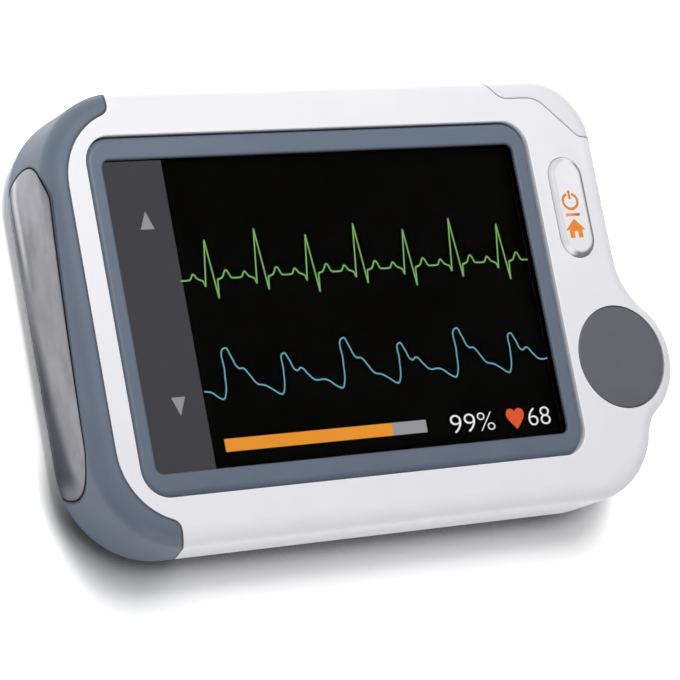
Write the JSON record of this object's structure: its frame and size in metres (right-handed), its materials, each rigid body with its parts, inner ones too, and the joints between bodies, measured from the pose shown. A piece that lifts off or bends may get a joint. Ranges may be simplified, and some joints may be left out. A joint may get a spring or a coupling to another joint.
{
  "type": "ecg home monitor",
  "caption": "Hand-held home heart monitor: touch screen in a rounded case with a thumb electrode lobe, a metal side electrode, a rear electrode and a home button.",
  "frame": {"origin": "on the surface the monitor lies on, under the middle of its overall length and width", "axes": "+X to the right of the screen, +Y to the top of the screen, +Z out of the screen"},
  "size_m": [0.088, 0.0562, 0.0135],
  "materials": {
    "white_plastic": "satin white injection-moulded plastic",
    "cap_plastic": "satin off-white plastic",
    "bumper_plastic": "satin blue-grey plastic",
    "bezel_plastic": "satin blue-grey plastic",
    "cover_glass": "clear, polished",
    "display": "black, lit from behind",
    "backlight": "milky white",
    "foam": "black foam",
    "frame_metal": "satin",
    "ribbon": "amber polyimide film",
    "connector": "ivory moulding",
    "circuit_board": "green solder mask",
    "chip": "black epoxy",
    "steel": "brushed",
    "screw_steel": "satin",
    "electrode_metal": "bead-blasted",
    "thumb_metal": "matte dark-grey conductive coating",
    "brass": "gold-plated",
    "button_plastic": "satin white plastic with printed signs",
    "switch_plastic": "black",
    "lens": "dark red, polished",
    "sensor_window": "dark filter",
    "rubber": "matte",
    "battery_foil": "silver laminate",
    "tape": "double-sided tape",
    "lead_rubber": "soft insulation",
    "speaker_plastic": "black"
  },
  "bodies": {
    "case": {"front_cover": "white_plastic", "rear_cover": "white_plastic", "left_bumper": "bumper_plastic", "corner_cap": "cap_plastic", "case_screws": "screw_steel", "bezel": "bezel_plastic", "touch_glass": "cover_glass", "glass_gasket": "foam", "display_panel": "display", "backlight": "backlight", "inner_frame": "frame_metal", "display_flex": "ribbon", "flex_connector": "connector", "main_board": "circuit_board", "processor": "chip", "memory_chip": "chip", "radio_shield": "steel", "small_parts": "chip", "switch_housing": "switch_plastic", "switch_dome": "steel", "thumb_electrode": "thumb_metal", "thumb_contact_pin": "brass", "rear_electrode": "electrode_metal", "rear_contact_pin": "brass", "left_electrode": "electrode_metal", "side_contact_spring": "brass", "oximeter_lens": "lens", "oximeter_board": "circuit_board", "oximeter_chips": "connector", "oximeter_plug": "connector", "temperature_sensor": "steel", "temperature_window": "sensor_window", "sensor_sleeve": "rubber", "battery": "battery_foil", "battery_tape": "tape", "battery_plug": "connector", "battery_leads": "lead_rubber", "speaker": "speaker_plastic", "speaker_gasket": "foam", "speaker_contacts": "brass", "port_shell": "steel", "port_tongue": "switch_plastic"},
    "button": {"home_button": "button_plastic"},
    "plunger": {"switch_plunger": "switch_plastic"}
  },
  "joints": [
    {"name": "button_press", "type": "slide", "parent": "case", "child": "button", "axis": [0, 0, -1], "range_m": [0, 0.00035], "stiffness_N_per_m": 1500, "deforming": ["switch_dome"]},
    {"name": "plunger_press", "type": "slide", "parent": "case", "child": "plunger", "axis": [0, 0, -1], "range_m": [0, 0.00035]}
  ],
  "couplings": [
    {"joint": "plunger_press", "follows": "button_press", "ratio": 1}
  ]
}
